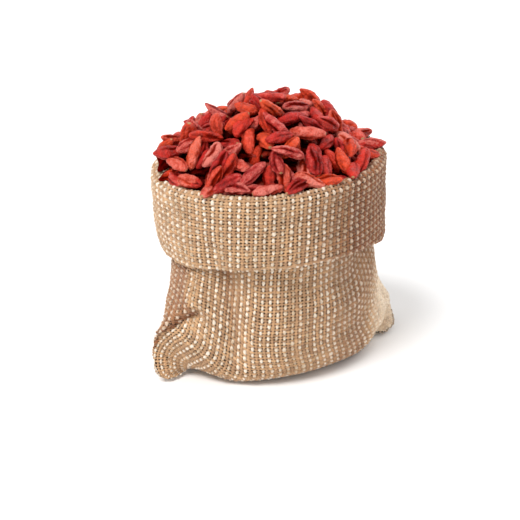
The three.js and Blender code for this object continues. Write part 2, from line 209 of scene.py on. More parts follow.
def track(keys, at, column=1):
    """Smooth curve through (position, value, ...) keys, read in one column."""
    table = np.array(keys, float)
    x, y = table[:, 0], table[:, column]
    slope = np.empty_like(y)
    slope[1:-1] = (y[2:] - y[:-2]) / (x[2:] - x[:-2])
    slope[0] = (y[1] - y[0]) / (x[1] - x[0])
    slope[-1] = (y[-1] - y[-2]) / (x[-1] - x[-2])
    i = np.clip(np.searchsorted(x, at, side="left") - 1, 0, len(x) - 2)
    span = x[i + 1] - x[i]
    t = (at - x[i]) / span
    rise = y[i + 1] - y[i]
    m0, m1 = slope[i] * span, slope[i + 1] * span
    return y[i] + m0 * t + (3 * rise - 2 * m0 - m1) * t**2 + (m0 + m1 - 2 * rise) * t**3


def towards_right(x, y):
    """Share of the way to the right side of the rim, -1 at its left and 1 at its right."""
    return (0.88 * x - 0.47 * y) / 60


def outward_at(points):
    """Horizontal direction out of the sack's wall."""
    out = points * np.array([1 / WALL_X**2, 1 / WALL_Y**2, 0])
    return out / np.maximum(np.linalg.norm(out, axis=-1, keepdims=True), 1e-9)


def from_valley(share, length):
    """How far to the right of the front fold a point is, as a share of the panel."""
    return share - VALLEY_SHARE + VALLEY_DRIFT * (length - VALLEY_LEVEL)


def folds(share, front, length):
    """Folds and dents of the cloth, as an outward displacement."""
    wall = smoothstep(34, 60, length) * (1 - smoothstep(118, 140, length))
    valley = -2.8 * bell(from_valley(share, length), 0.04)
    bulge = 1.6 * bell(share - 0.14, 0.07) + 1.2 * bell(share - 0.6, 0.22)
    right_fold = -1.8 * bell(share - 0.93, 0.04) * bell(length - 44, 12)
    if front:
        return wall * (valley + bulge) + right_fold
    valley = -2.2 * bell(share - 0.66 + 0.0008 * (length - 70), 0.06)
    dent = -1.8 * bell(share - 0.3, 0.05) * bell(length - 64, 22)
    return wall * (valley + 1.4 * bell(share - 0.48, 0.15)) + dent


def ridge_share(length):
    """Where the flap's ridge runs on the front panel, at each cloth length."""
    return 0.062 + 0.05 * (1 - smoothstep(63, 72, length))


def left_flap(share, front, length):
    """The side of the sack that slumps over its left ear. It gives how far the cloth stands out
    over the crease and how far it is drawn in under it."""
    crease = np.interp(share, *zip(*LEFT_CREASE))
    above = length - crease
    over = smoothstep(-3, 4.5, above)
    near = 1 - smoothstep(0.12, 0.17, share) if front else 1 - smoothstep(0, 0.09, share)
    from_seam = smoothstep(-0.02, 0.05, share)
    overhang = 2.3 * over * np.exp(-((np.maximum(0, above - 2) / 14) ** 2)) * from_seam
    tuck = -1.6 * bell(above + 2.5, 3.4) * from_seam
    relief = near * (overhang + tuck)
    if not front:
        return relief, np.zeros_like(relief)
    ridge_at = ridge_share(length)
    slope = np.where(share < ridge_at, (ridge_at - share) / ridge_at, (share - ridge_at) / 0.12)
    cut = lerp(over, smoothstep(44, 76, length), smoothstep(0.085, 0.14, share))
    tall = 4.5 + 3 * smoothstep(64, 76, length)
    ridge = tall * np.maximum(0, 1 - slope) * cut * (1 - smoothstep(82, 100, length))
    crumple = -1.2 * bell(share - 0.052, 0.014) * smoothstep(3, 8, length)
    crumple = crumple * (1 - smoothstep(22, 30, length))
    return relief + crumple, ridge


def body_points(share, front, length, creased=True):
    """Points of the body's outer face. The share runs 0 to 1 from the left seam to the right."""
    share, length = np.broadcast_arrays(np.asarray(share, float), np.asarray(length, float))
    side = lerp(2 * share - 1, -np.cos(np.pi * share), track(ROUNDNESS, length))
    right = (side + 1) / 2
    corner = smoothstep(0.45, 1, np.abs(side))
    reach_x = lerp(track(LEFT_SEAM, length), track(RIGHT_SEAM, length), right)
    reach_y = np.maximum(0, track(MID_PANEL, length))
    pinch = lerp(track(LEFT_PINCH, length), track(RIGHT_PINCH, length), right)
    depth = np.maximum(0, 1 - side * side) ** pinch
    seam_height = lerp(track(LEFT_SEAM, length, 2), track(RIGHT_SEAM, length, 2), right)
    mid_height = np.maximum(0, track(MID_PANEL, length, 2))
    swing = lerp(track(LEFT_SWING, length), track(RIGHT_SWING, length), right)
    arch = 2 * bell(side + 0.72, 0.1) * (1 - smoothstep(0, 24, length))
    towards_back = -1 if front else 1
    points = np.stack([reach_x * side, towards_back * reach_y * depth, np.zeros_like(side)], -1)
    points += outward_at(points) * folds(share, front, length)[..., None]
    if creased:
        relief, ridge = left_flap(share, front, length)
        neck = 1.7 + (3.1 * smoothstep(0.5, 0.75, share) if front else 0)
        relief -= neck * smoothstep(80, 102, length) * (1 - smoothstep(112, 138, length))
        points += outward_at(points) * relief[..., None] + RIDGE_DIRECTION * ridge[..., None]
    tilt = RIM_TILT * towards_right(points[..., 0], points[..., 1])
    points[..., 1] += swing * corner**2
    height = lerp(mid_height, seam_height, corner) + arch
    points[..., 2] = height + tilt * smoothstep(96, RIM_LENGTH, length)
    return points


def cuff_height(rim):
    """How far the cuff hangs down from the rim, deeper towards both sides."""
    right = towards_right(rim[..., 0], rim[..., 1])
    return 39 + 5 * np.maximum(0, -right) ** 2 + 10 * np.maximum(0, right) ** 6


def cuff_offset(rim, up):
    """How far the cuff's outer face stands off the body."""
    right = towards_right(rim[..., 0], rim[..., 1])
    edge = 5 + 1.5 * np.maximum(0, right) + 0.3 * np.maximum(0, -right)
    belly = 5.6 + 1.6 * np.maximum(0, -right) - 0.8 * np.maximum(0, right)
    wave = 0.5 * np.sin(3 * np.arctan2(rim[..., 1], rim[..., 0]) + 0.8)
    return lerp(edge, belly, np.sin(np.pi * np.minimum(up, 0.6))) + wave * (1 - up)


def cuff_points(share, front, drop):
    """Points of the cuff by the cloth's length from the rim: over the rim from the inner wall at
    a negative drop, down the outer face, round the lower fold and up the inner face."""
    share, drop = np.broadcast_arrays(np.asarray(share, float), np.asarray(drop, float))
    rim = body_points(share, front, np.full_like(share, RIM_LENGTH))
    out = outward_at(rim)
    tall = cuff_height(rim) - CUFF_FOLD - YARN_ROOM
    fold = np.clip((drop - tall) / CUFF_FOLD, 0, np.pi)
    back_up = np.maximum(0, drop - tall - np.pi * CUFF_FOLD)
    fallen = np.clip(drop, 0, tall) - back_up
    base = body_points(share, front, RIM_LENGTH - fallen, False)
    offset = cuff_offset(rim, 1 - np.clip(fallen / tall, 0, 1))
    offset = np.maximum(offset, CUFF_GAP + 2 * CUFF_FOLD) - CUFF_FOLD * (1 - np.cos(fold))
    points = base + outward_at(base) * offset[..., None]
    points[..., 2] = rim[..., 2] - fallen - CUFF_FOLD * np.sin(fold)
    # The rounded fold over the rim, and the inner wall below it.
    top = cuff_offset(rim, np.ones_like(share))
    radius = (top + CLOTH) / 2
    roll = np.pi * (radius + RIM_RISE) / 2
    angle = np.clip(-drop / roll, 0, 1) * np.pi
    inner = np.maximum(0, -drop - roll)
    wall = body_points(share, front, RIM_LENGTH - inner)
    centre = (top - CLOTH) / 2
    over = np.where((inner > 0)[..., None], wall, rim)
    over = over + outward_at(over) * (centre + radius * np.cos(angle))[..., None]
    over[..., 2] = rim[..., 2] + RIM_RISE * np.sin(angle) - inner
    return np.where((drop < 0)[..., None], over, points)


def body_painted_light_shade_and_brown(share, front, length):
    """Painted shade on the body's cloth, and the left flap's browner cloth, below 0; painted light on
    its right ear, above 0.
    """
    # The left flap's cloth is browner.
    from_crease = length - np.interp(share, *zip(*LEFT_CREASE))
    above = smoothstep(-1, 1, from_crease)
    reach = ridge_share(length) if front else 0.12
    flap = above * (1 - smoothstep(reach - 0.01, reach + 0.02, share))
    flap = flap * (1 - smoothstep(96, 112, length))
    # Painted light on the right ear.
    ear = smoothstep(0.7, 0.9, share) * (1 - smoothstep(50, 84, length))
    if not front:
        return 0.8 * ear - 0.6 * flap
    # Painted shadow in a thin line under the left flap's crease.
    crease = bell(from_crease + 1.6, 1.8) * (1 - smoothstep(0.115, 0.14, share))
    # Painted shade down the right side of the front.
    side = smoothstep(0.46, 0.7, share) * (1 - ear)
    # Painted shade in the front fold, deeper just under the cuff.
    valley = bell(from_valley(share, length), 0.03) * smoothstep(50, 80, length)
    deeper = 0.34 + 0.4 * smoothstep(84, 104, length)
    return 1.3 * ear - 0.66 * flap - 0.45 * side - deeper * valley - crease


def cuff_painted_shade(share, front, drop):
    """Painted shade on the cuff, the same at every drop: it only darkens towards its right side."""
    if front:
        return -1.1 * smoothstep(0.38, 0.72, share)
    return -1.1 * smoothstep(0.4, 1, share)


def even_shares(length, count):
    """Shares of a panel that cut its ring at one length into equal stretches of cloth."""
    shares = {}
    for front in (True, False):
        fine = np.linspace(0, 1, 721)
        ring = body_points(fine, front, np.full_like(fine, length), False)
        steps = np.linalg.norm(np.diff(ring, axis=0), axis=1)
        walked = np.concatenate([[0], np.cumsum(steps)])
        shares[front] = np.interp(np.linspace(0, walked[-1], count + 1), walked, fine)
    return shares


def ear_twist(around, length):
    """How far the warps lean round the left ear. Around runs from 0 at the left seam to 1 at the
    right seam over the front, and to -1 over the back."""
    return EAR_TWIST * bell(around - 0.08, 0.2) * (1 - smoothstep(14, 66, length))


def sheet_grid(surface, shade, levels, is_body):
    """Grid of points round the sack, two columns to each warp, and the cloth's shade there. Rows
    follow the levels. The body's warps are spread afresh at each level, lean round the left ear
    and are lifted off the floor."""
    half = 2 * PANEL_WARPS
    rows, shades = [], []
    shares = even_shares(RIM_LENGTH, half)
    for level in levels:
        if is_body:
            shares = even_shares(max(level, 0.5), half)
        around = np.concatenate([shares[True][:-1], -shares[False][::-1][:-1]])
        if is_body:
            around = around - ear_twist(around, level)
        in_front = around >= 0
        for picked, made_by in ((rows, surface), (shades, shade)):
            front = made_by(np.abs(around), True, level)
            back = made_by(np.abs(around), False, level)
            chosen = in_front[:, None] if front.ndim == 2 else in_front
            picked.append(np.where(chosen, front, back))
    grid = np.array(rows)
    if is_body:
        grid[..., 2] += BASE_LIFT * (1 - smoothstep(0, 8, grid[..., 2]))
    return grid, np.array(shades)


def grid_normals(grid, sign):
    """Unit normals of a grid that closes round the sack. The sign turns them outwards."""
    along_u = np.roll(grid, -1, 1) - np.roll(grid, 1, 1)
    along_v = np.gradient(grid, axis=0)
    normals = np.cross(along_u, along_v) * sign
    return normals / np.maximum(np.linalg.norm(normals, axis=-1, keepdims=True), 1e-9)


def waves(rng, strands, steps, pitch, sizes):
    """Smooth random variation along each strand, between about -1 and 1."""
    at = np.arange(steps)[None, :] * pitch
    total = np.zeros((strands, steps))
    for size in sizes:
        phase = rng.uniform(0, 2 * np.pi, (strands, 1))
        stretch = rng.uniform(0.8, 1.25, (strands, 1))
        total += np.sin(2 * np.pi * at * stretch / size + phase)
    return total / len(sizes)


def rumple(rows, columns):
    """Small lumps and hollows of the cloth over its grid."""
    down = np.arange(rows)[:, None] * WEFT_PITCH / 2
    turn = 2 * np.pi * np.arange(columns)[None, :] / columns
    lumps = np.sin(11 * turn + 0.09 * down) + np.sin(17 * turn - 0.16 * down + 2)
    return 0.16 * (lumps + np.sin(29 * turn + 0.31 * down + 4) + np.sin(5 * turn + 0.27 * down + 1))


def uneven(wave):
    """Thickness of a yarn along its length, with a thick place here and there."""
    return 1 + 0.2 * wave + 1.3 * np.maximum(0, wave - 0.6)


def add_mesh(name, points, faces, material, uv=None, floats=None):
    """Makes a smooth mesh object from points in millimetres and faces of one size."""
    mesh = bpy.data.meshes.new(name)
    mesh.vertices.add(len(points))
    mesh.vertices.foreach_set("co", ((points + shift) * MM).astype(np.float32).ravel())
    mesh.loops.add(faces.size)
    mesh.loops.foreach_set("vertex_index", faces.astype(np.int32).ravel())
    mesh.polygons.add(len(faces))
    mesh.polygons.foreach_set("loop_start", np.arange(len(faces), dtype=np.int32) * faces.shape[1])
    mesh.polygons.foreach_set("use_smooth", np.ones(len(faces), bool))
    mesh.update(calc_edges=True)
    if uv is not None:
        layer = mesh.uv_layers.new(name="UVMap")
        layer.data.foreach_set("uv", uv[faces.ravel()].astype(np.float32).ravel())
    for key, values in (floats or {}).items():
        attribute = mesh.attributes.new(key, "FLOAT", "POINT")
        attribute.data.foreach_set("value", values.astype(np.float32))
    mesh.validate()
    mesh.materials.append(material)
    piece = bpy.data.objects.new(name, mesh)
    bpy.context.scene.collection.objects.link(piece)
    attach(piece, "root")
    return piece


def strand_mesh(lines, normals, half_width, half_thick, closed):
    """Half-round yarns along many lines at once: points, faces and coordinates."""
    count, steps = lines.shape[:2]
    if closed:
        tangent = np.roll(lines, -1, 1) - np.roll(lines, 1, 1)
    else:
        tangent = np.gradient(lines, axis=1)
    side = np.cross(normals, tangent)
    side /= np.maximum(np.linalg.norm(side, axis=-1, keepdims=True), 1e-9)
    rings = []
    for angle in STRAND_CORNERS:
        edge = lines + side * (half_width * np.cos(angle))[..., None]
        rings.append(edge + normals * (half_thick * np.sin(angle))[..., None])
    points = np.stack(rings, 2)
    corners = len(rings)
    index = np.arange(count * steps * corners).reshape(count, steps, corners)
    following = np.roll(index, -1, 1)
    if not closed:
        index, following = index[:, :-1], following[:, :-1]
    quads = np.stack(
        [index[..., :-1], following[..., :-1], following[..., 1:], index[..., 1:]], -1
    ).reshape(-1, 4)
    stride = np.linalg.norm(np.diff(lines, axis=1, prepend=lines[:, :1]), axis=-1)
    along = np.repeat(np.cumsum(stride, 1)[..., None], corners, 2)
    around = np.broadcast_to(np.linspace(0, 1, corners), along.shape)
    uv = np.stack([along, around], -1).reshape(-1, 2)
    return points.reshape(-1, 3), quads, uv, corners


def weave_sheet(name, grid, shade, sign, seed, materials):
    """Warps and wefts woven over a grid with two rows and columns to each crossing."""
    rng = np.random.default_rng(seed)
    normals = grid_normals(grid, sign)
    rows, columns = grid.shape[:2]
    grid = grid + normals * rumple(rows, columns)[..., None] * smoothstep(1, 12, grid[..., 2:])
    warps = columns // 2
    across = np.roll(grid, -1, 1) - np.roll(grid, 1, 1)
    spacing = np.linalg.norm(across, axis=-1)
    across /= np.maximum(spacing, 1e-9)[..., None]
    tightness = np.clip(spacing / WARP_PITCH, 0.6, 1.15)
    made = []

    row_at = np.arange(rows)
    for first, (kind, width, thick) in enumerate(WARPS):
        picked = np.arange(first, warps, 2)
        lines = grid[:, picked * 2].transpose(1, 0, 2)
        beside = across[:, picked * 2].transpose(1, 0, 2)
        out = normals[:, picked * 2].transpose(1, 0, 2)
        beat = np.cos(np.pi * (row_at[None, :] / 2 + picked[:, None]))
        wobble = waves(rng, len(picked), rows, ROW, (7, 13, 31))
        thickness = uneven(waves(rng, len(picked), rows, ROW, (5, 11, 23)))
        lines = lines + out * (CRIMP * beat)[..., None] + beside * (WARP_WANDER * wobble)[..., None]
        broad = rng.uniform(0.9, 1.12, (len(picked), 1))
        half_width = width * broad * thickness * (0.82 + 0.27 * beat) * tightness[:, picked * 2].T
        points, quads, uv, corners = strand_mesh(lines, out, half_width, thick * thickness, False)
        floats = {
            "tone": np.repeat(rng.uniform(0, 1, len(picked)), rows * corners),
            "shade": np.repeat(shade[:, picked * 2].T.ravel(), corners),
        }
        made.append(add_mesh(f"{name}_warp_{kind}", points, quads, materials[kind], uv, floats))

    picked = np.arange(1, rows // 2)
    lines = grid[picked * 2]
    out = normals[picked * 2]
    up = np.gradient(grid, axis=0)[picked * 2]
    up /= np.maximum(np.linalg.norm(up, axis=-1, keepdims=True), 1e-9)
    beat = -np.cos(np.pi * (np.arange(columns)[None, :] / 2 + picked[:, None]))
    wobble = waves(rng, len(picked), columns, WEFT_STEP, (9, 17, 41))
    # A weft closes on itself at the seam, so it doesn't wander there.
    wobble[:, -6:] *= np.linspace(1, 0, 6)
    wobble[:, :6] *= np.linspace(0, 1, 6)
    thickness = uneven(waves(rng, len(picked), columns, WEFT_STEP, (6, 13, 29)))
    lines = lines + out * (0.8 * CRIMP * beat)[..., None] + up * (WEFT_WANDER * wobble)[..., None]
    broad = rng.uniform(0.84, 1.14, (len(picked), 1))
    half_width = WEFT_WIDTH * broad * thickness * (0.92 + 0.12 * beat)
    points, quads, uv, corners = strand_mesh(lines, out, half_width, WEFT_THICK * thickness, True)
    floats = {
        "tone": np.repeat(rng.uniform(0, 1, len(picked)), columns * corners),
        "shade": np.repeat(shade[picked * 2].ravel(), corners),
    }
    made.append(add_mesh(f"{name}_weft", points, quads, materials["weft"], uv, floats))

    ground = (grid - normals * GROUND_DEPTH)[::2, ::2]
    index = np.arange(ground.shape[0] * ground.shape[1]).reshape(ground.shape[:2])
    beside = np.roll(index, -1, 1)
    quads = np.stack([index[:-1], beside[:-1], beside[1:], index[1:]], -1).reshape(-1, 4)
    made.append(add_mesh(f"{name}_ground", ground.reshape(-1, 3), quads, materials["ground"]))
    return made


def make_fibres(name, cloth, rows, sign, seed, material):
    """Loose jute fibres that stand off the weave between two rows, each a thin bent spike."""
    rng = np.random.default_rng(seed)
    grid, shade = cloth
    picked = rng.integers(*rows, FIBRES), rng.integers(0, grid.shape[1], FIBRES)
    out = grid_normals(grid, sign)[picked]
    heading = np.cross(out, rng.normal(size=(FIBRES, 3)))
    heading /= np.linalg.norm(heading, axis=1, keepdims=True)
    side = np.cross(heading, out)
    length = rng.uniform(*FIBRE_LENGTH, (FIBRES, 1))
    root = grid[picked] + 0.3 * out
    middle = root + length * (0.45 * heading + 0.2 * out)
    tip = middle + length * (0.4 * heading + rng.uniform(-0.1, 0.4, (FIBRES, 1)) * out)
    corners = [
        centre + FIBRE_RADIUS * (math.cos(a) * side + math.sin(a) * out)
        for centre in (root, middle) for a in np.radians([90, 210, 330])
    ]
    points = np.stack(corners + [tip], 1)
    points[..., 2] = np.maximum(points[..., 2], 0.1)
    walls = [(0, 1, 4), (0, 4, 3), (1, 2, 5), (1, 5, 4), (2, 0, 3), (2, 3, 5)]
    spike = np.array(walls + [(3, 4, 6), (4, 5, 6), (5, 3, 6)])
    size = points.shape[1]
    faces = (spike[None] + size * np.arange(FIBRES)[:, None, None]).reshape(-1, 3)
    floats = {
        "tone": np.repeat(rng.uniform(0, 1, FIBRES), size),
        "shade": np.repeat(shade[picked], size),
    }
    return add_mesh(name, points.reshape(-1, 3), faces, material, None, floats)


def grey(value):
    return (value, value, value)


class Nodes:
    """Small helper that adds nodes to a material and links them."""

    def __init__(self, name):
        self.material = bpy.data.materials.new(name)
        self.material.use_nodes = True
        self.tree = self.material.node_tree
        self.shader = self.tree.nodes["Principled BSDF"]

    def add(self, kind, inputs=None, **settings):
        node = self.tree.nodes.new(kind)
        for key, value in settings.items():
            setattr(node, key, value)
        for key, value in (inputs or {}).items():
            if isinstance(value, bpy.types.NodeSocket):
                self.tree.links.new(value, node.inputs[key])
            else:
                node.inputs[key].default_value = value
        return node

    def attribute(self, name):
        return self.add("ShaderNodeAttribute", attribute_name=name).outputs["Fac"]

    def noise(self, scale, detail=4, vector=None, roughness=0.55):
        if vector is None:
            vector = self.add("ShaderNodeTexCoord").outputs["Object"]
        inputs = {"Scale": scale, "Detail": detail, "Roughness": roughness, "Vector": vector}
        return self.add("ShaderNodeTexNoise", inputs).outputs["Fac"]

    def ramp(self, factor, stops):
        node = self.add("ShaderNodeValToRGB", {"Fac": factor})
        elements = node.color_ramp.elements
        while len(elements) < len(stops):
            elements.new(0.5)
        for element, (position, colour) in zip(elements, stops):
            element.position = position
            element.color = (*colour, 1)
        return node.outputs["Color"]

    def mix(self, factor, first, second, blend="MIX"):
        node = self.add("ShaderNodeMix", data_type="RGBA", blend_type=blend)
        for key, value in ((0, factor), (6, first), (7, second)):
            if isinstance(value, bpy.types.NodeSocket):
                self.tree.links.new(value, node.inputs[key])
            elif isinstance(value, tuple):
                node.inputs[key].default_value = (*value, 1)
            else:
                node.inputs[key].default_value = value
        return node.outputs[2]

    def math(self, operation, first, second):
        inputs = {0: first, 1: second}
        return self.add("ShaderNodeMath", inputs, operation=operation).outputs[0]

    def link(self, output, key):
        self.tree.links.new(output, self.shader.inputs[key])

    def value(self, key, value):
        self.shader.inputs[key].default_value = value


def yarn_material(name, shade_share, dark, light, worn):
    """Jute yarn: fibres along its length, uneven colour and a faint sheen. Shade share is how much of
    the cloth's painted shade, and the flap's brown, it takes up."""
    n = Nodes(name)
    uv = n.add("ShaderNodeTexCoord").outputs["UV"]
    stretched = n.add("ShaderNodeMapping", {"Vector": uv, "Scale": (0.55, 7, 1)}).outputs[0]
    fibres = n.noise(1.6, 3, stretched, 0.6)
    patches = n.noise(55, 4)
    stitches = n.math("MULTIPLY", n.noise(420, 2, None, 0.4), 1.1)
    tone = n.math("MULTIPLY", n.attribute("tone"), 0.42)
    blend = n.math("ADD", tone, n.math("MULTIPLY", patches, 0.45))
    blend = n.math("ADD", blend, n.math("SUBTRACT", stitches, 0.48))
    base = n.ramp(blend, [(0.28, dark), (0.7, light)])
    base = n.mix(n.ramp(fibres, [(0.35, grey(0)), (0.75, grey(0.55))]), base, worn)
    shade = n.attribute("shade")
    # Painted shade, and the flap's browner cloth, where the shade attribute is below 0.
    base = n.mix(n.math("MULTIPLY", shade, -shade_share), base, SHADE_AND_BROWN_TINT, "MULTIPLY")
    # Painted light on the right ear, where the shade attribute is above 0.
    base = n.mix(n.math("MULTIPLY", shade, stitches), base, PAINTED_LIGHT_TINT)
    n.link(base, "Base Color")
    n.value("Roughness", 0.9)
    n.value("Sheen Weight", 0.25)
    n.value("Sheen Roughness", 0.6)
    bump = n.add("ShaderNodeBump", {"Height": fibres, "Strength": 0.6, "Distance": 0.0004})
    n.link(bump.outputs[0], "Normal")
    return n.material


def ground_material():
    """The shadowed underside of the weave that shows between the yarns."""
    n = Nodes("burlap_ground")
    base = n.ramp(n.noise(180, 3), [(0.3, (0.02, 0.009, 0.004)), (0.7, (0.055, 0.026, 0.012))])
    n.link(base, "Base Color")
    n.value("Roughness", 0.95)
    return n.material


def heap_height(x, y):
    """Height of the heap's finished face over a point of the mouth."""
    rho2 = ((x - 0.8) / MOUTH_X) ** 2 + (y / MOUTH_Y) ** 2
    edge = HEAP_EDGE * np.maximum(0, 1 - rho2**4)
    dome = HEAP_HEIGHT * np.maximum(0, 1 - rho2) ** HEAP_POWER
    lumps = 0.9 * np.sin(0.13 * x + 1.1) * np.cos(0.11 * y + 0.4)
    for at_x, at_y, rise, wide, deep in SHOULDERS:
        lumps = lumps + rise * bell(x - at_x, wide) * bell(y - at_y, deep)
    return RIM_HEIGHT + edge + dome + lumps


def make_random(seed):
    """The same chance draws as in the CAD model's source."""
    state = seed

    def draw():
        nonlocal state
        state = (state * 16807) % 2147483647
        return state / 2147483647

    return draw


def berry_profile(t):
    """Half width of a berry along its length, as a share of its widest, for t from -1 to 1."""
    return np.maximum(0, 1 - np.abs(t) ** 2.2) ** 0.62


class HeightField:
    """Heights of the heap on a square grid while it is being filled."""

    def __init__(self, half, cell):
        self.half, self.cell = half, cell
        self.count = round(2 * half / cell) + 1
        at = np.arange(self.count) * cell - half
        x, y = np.meshgrid(at, at, indexing="ij")
        rho = np.hypot(x / MOUTH_X, y / MOUTH_Y)
        rim = RIM_HEIGHT + RIM_TILT * towards_right(x, y) + RIM_RISE + CLOTH_CLEARANCE
        beyond = np.where(rho < 1.1, rim, 1000)
        self.values = np.where(rho < 0.95, heap_height(x, y) - BED_DEPTH, beyond)

    def cells(self, x, y):
        i = np.floor((x + self.half) / self.cell + 0.5).astype(int)
        j = np.floor((y + self.half) / self.cell + 0.5).astype(int)
        return np.clip(i, 0, self.count - 1), np.clip(j, 0, self.count - 1)

    def at(self, x, y):
        return self.values[self.cells(x, y)]

    def raise_to(self, x, y, height):
        np.maximum.at(self.values, self.cells(x, y), height)


STATIONS = np.array([-0.86, -0.5, 0, 0.5, 0.86])[None, :, None]
SIDEWAYS = np.array([-0.65, 0, 0.65])[None, None, :]
PITCHES = np.radians([-52, -38, -24, -12, 0, 12, 24, 38, 52])[:, None, None]


def rest_pose(field, berry, x, y, yaw):
    """Lowest resting place of a berry over (x, y) when it lies along yaw: (height, pitch)."""
    along = STATIONS * berry["length"] / 2
    r = berry["width"] / 2 * berry_profile(STATIONS)
    forward, sideways = along * np.cos(PITCHES), SIDEWAYS * r
    px = x + forward * math.cos(yaw) - sideways * math.sin(yaw)
    py = y + forward * math.sin(yaw) + sideways * math.cos(yaw)
    under = r * np.sqrt(1 - SIDEWAYS**2) * berry["flat"]
    heights = (field.at(px, py) + under - along * np.sin(PITCHES)).max(axis=(1, 2))
    heights += 0.004 * np.degrees(np.abs(PITCHES[:, 0, 0]))
    best = int(np.argmin(heights))
    return heights[best], PITCHES[best, 0, 0]


def stamp(field, berry):
    """Raises the field to the top of a berry that has come to rest."""
    steps = math.ceil(berry["length"] / 0.7)
    t = (2 * np.arange(steps + 1) / steps - 1)[:, None]
    across = np.arange(-0.95, 0.96, 0.19)[None, :]
    along = t * berry["length"] / 2
    r = berry["width"] / 2 * berry_profile(t)
    top = berry["z"] + along * math.sin(berry["pitch"]) + r * berry["flat"] * np.sqrt(1 - across**2)
    forward, sideways = along * math.cos(berry["pitch"]), across * r
    x = berry["x"] + forward * math.cos(berry["yaw"]) - sideways * math.sin(berry["yaw"])
    y = berry["y"] + forward * math.sin(berry["yaw"]) + sideways * math.cos(berry["yaw"])
    field.raise_to(x, y, top)


def lay_out_berries(least_hollow, most):
    """Fills the heap berry by berry: each goes where the heap is furthest below its finished
    face, turned the way in which it settles lowest."""
    random = make_random(SEED)

    def between(pair):
        return lerp(pair[0], pair[1], random())

    field = HeightField(72, 1)
    berries = []
    while len(berries) < most:
        place = None
        for _ in range(40):
            rho, angle = math.sqrt(random()), 2 * math.pi * random()
            x = REACH * MOUTH_X * rho * math.cos(angle)
            y = REACH * MOUTH_Y * rho * math.sin(angle)
            short = heap_height(x, y) - field.at(x, y)
            if place is None or short > place[2]:
                place = (x, y, short)
        x, y, short = place
        berry = {
            "length": between(BERRY_LENGTH), "width": between(BERRY_WIDTH),
            "flat": between((0.74, 0.96)), "bend": between((-1.3, 1.3)),
            "roll": between((0, math.pi)), "x": x, "y": y,
        }
        spin = random() * math.pi
        best = (math.inf, 0, 0)
        for k in range(4):
            yaw = spin + k * math.pi / 4
            height, pitch = rest_pose(field, berry, x, y, yaw)
            if height < best[0]:
                best = (height, pitch, yaw)
        if short < least_hollow:
            break
        sink = SINK if short >= LEAST_HOLLOW else DEEP_SINK
        berry.update(z=best[0] - sink, pitch=best[1], yaw=best[2])
        if best[0] > short + field.at(x, y) + 8:
            field.raise_to(np.array([x]), np.array([y]), heap_height(x, y))
            continue
        stamp(field, berry)
        berries.append(berry)
    return berries


def loosened(berries):
    """The laid out berries, each tipped and lifted a little by chance."""
    rng = np.random.default_rng(11)
    for berry in berries:
        berry["pitch"] += rng.uniform(-TIP, TIP)
        berry["z"] += rng.uniform(-LOOSE_SINK, LOOSE_LIFT)
    return berries


def rim_berries():
    """Berries that lie on the rim's fold, all round it."""
    berries = []
    for angle, yaw, length, width in RIM_BERRIES:
        turn = math.radians(angle)
        x, y = RIM_X * math.cos(turn), -RIM_Y * math.sin(turn)
        rim_top = RIM_HEIGHT + RIM_RISE + RIM_TILT * towards_right(x, y)
        berries.append({
            "length": length, "width": width, "flat": RIM_BERRY_FLAT, "bend": RIM_BERRY_BEND,
            "roll": math.radians(3 * angle), "x": x, "y": y, "z": rim_top + RIM_BERRY_LIFT * width,
            "pitch": RIM_BERRY_PITCH, "yaw": math.radians(yaw),
        })
    return berries


def lower_berries():
    """Berries of the layer below in rings from the wall inwards, which show through the gaps."""
    rng = np.random.default_rng(29)
    berries = []
    for count, rho, depth in LOWER_RINGS:
        for k in range(count):
            angle = 2 * math.pi * (k + rng.uniform(-0.25, 0.25)) / count + 9 * rho
            x, y = 1 + MOUTH_X * rho * math.cos(angle), MOUTH_Y * rho * math.sin(angle)
            rim_top = RIM_HEIGHT + RIM_RISE + RIM_TILT * towards_right(x, y)
            z = heap_height(x, y) - depth + rng.uniform(-0.8, 0.8)
            at_wall = rho > 0.87
            spread = 0.45 if at_wall else 1.3
            if at_wall:
                z = min(z, rim_top - 0.4)
            berries.append({
                "length": rng.uniform(13, 17), "width": rng.uniform(6, 7.6), "x": x, "y": y, "z": z,
                "pitch": rng.uniform(-0.3, 0.3),
                "yaw": angle + math.pi / 2 + rng.uniform(-spread, spread),
                "bend": rng.uniform(-1.3, 1.3), "flat": rng.uniform(0.75, 0.95),
                "roll": rng.uniform(0, math.pi),
            })
    return berries


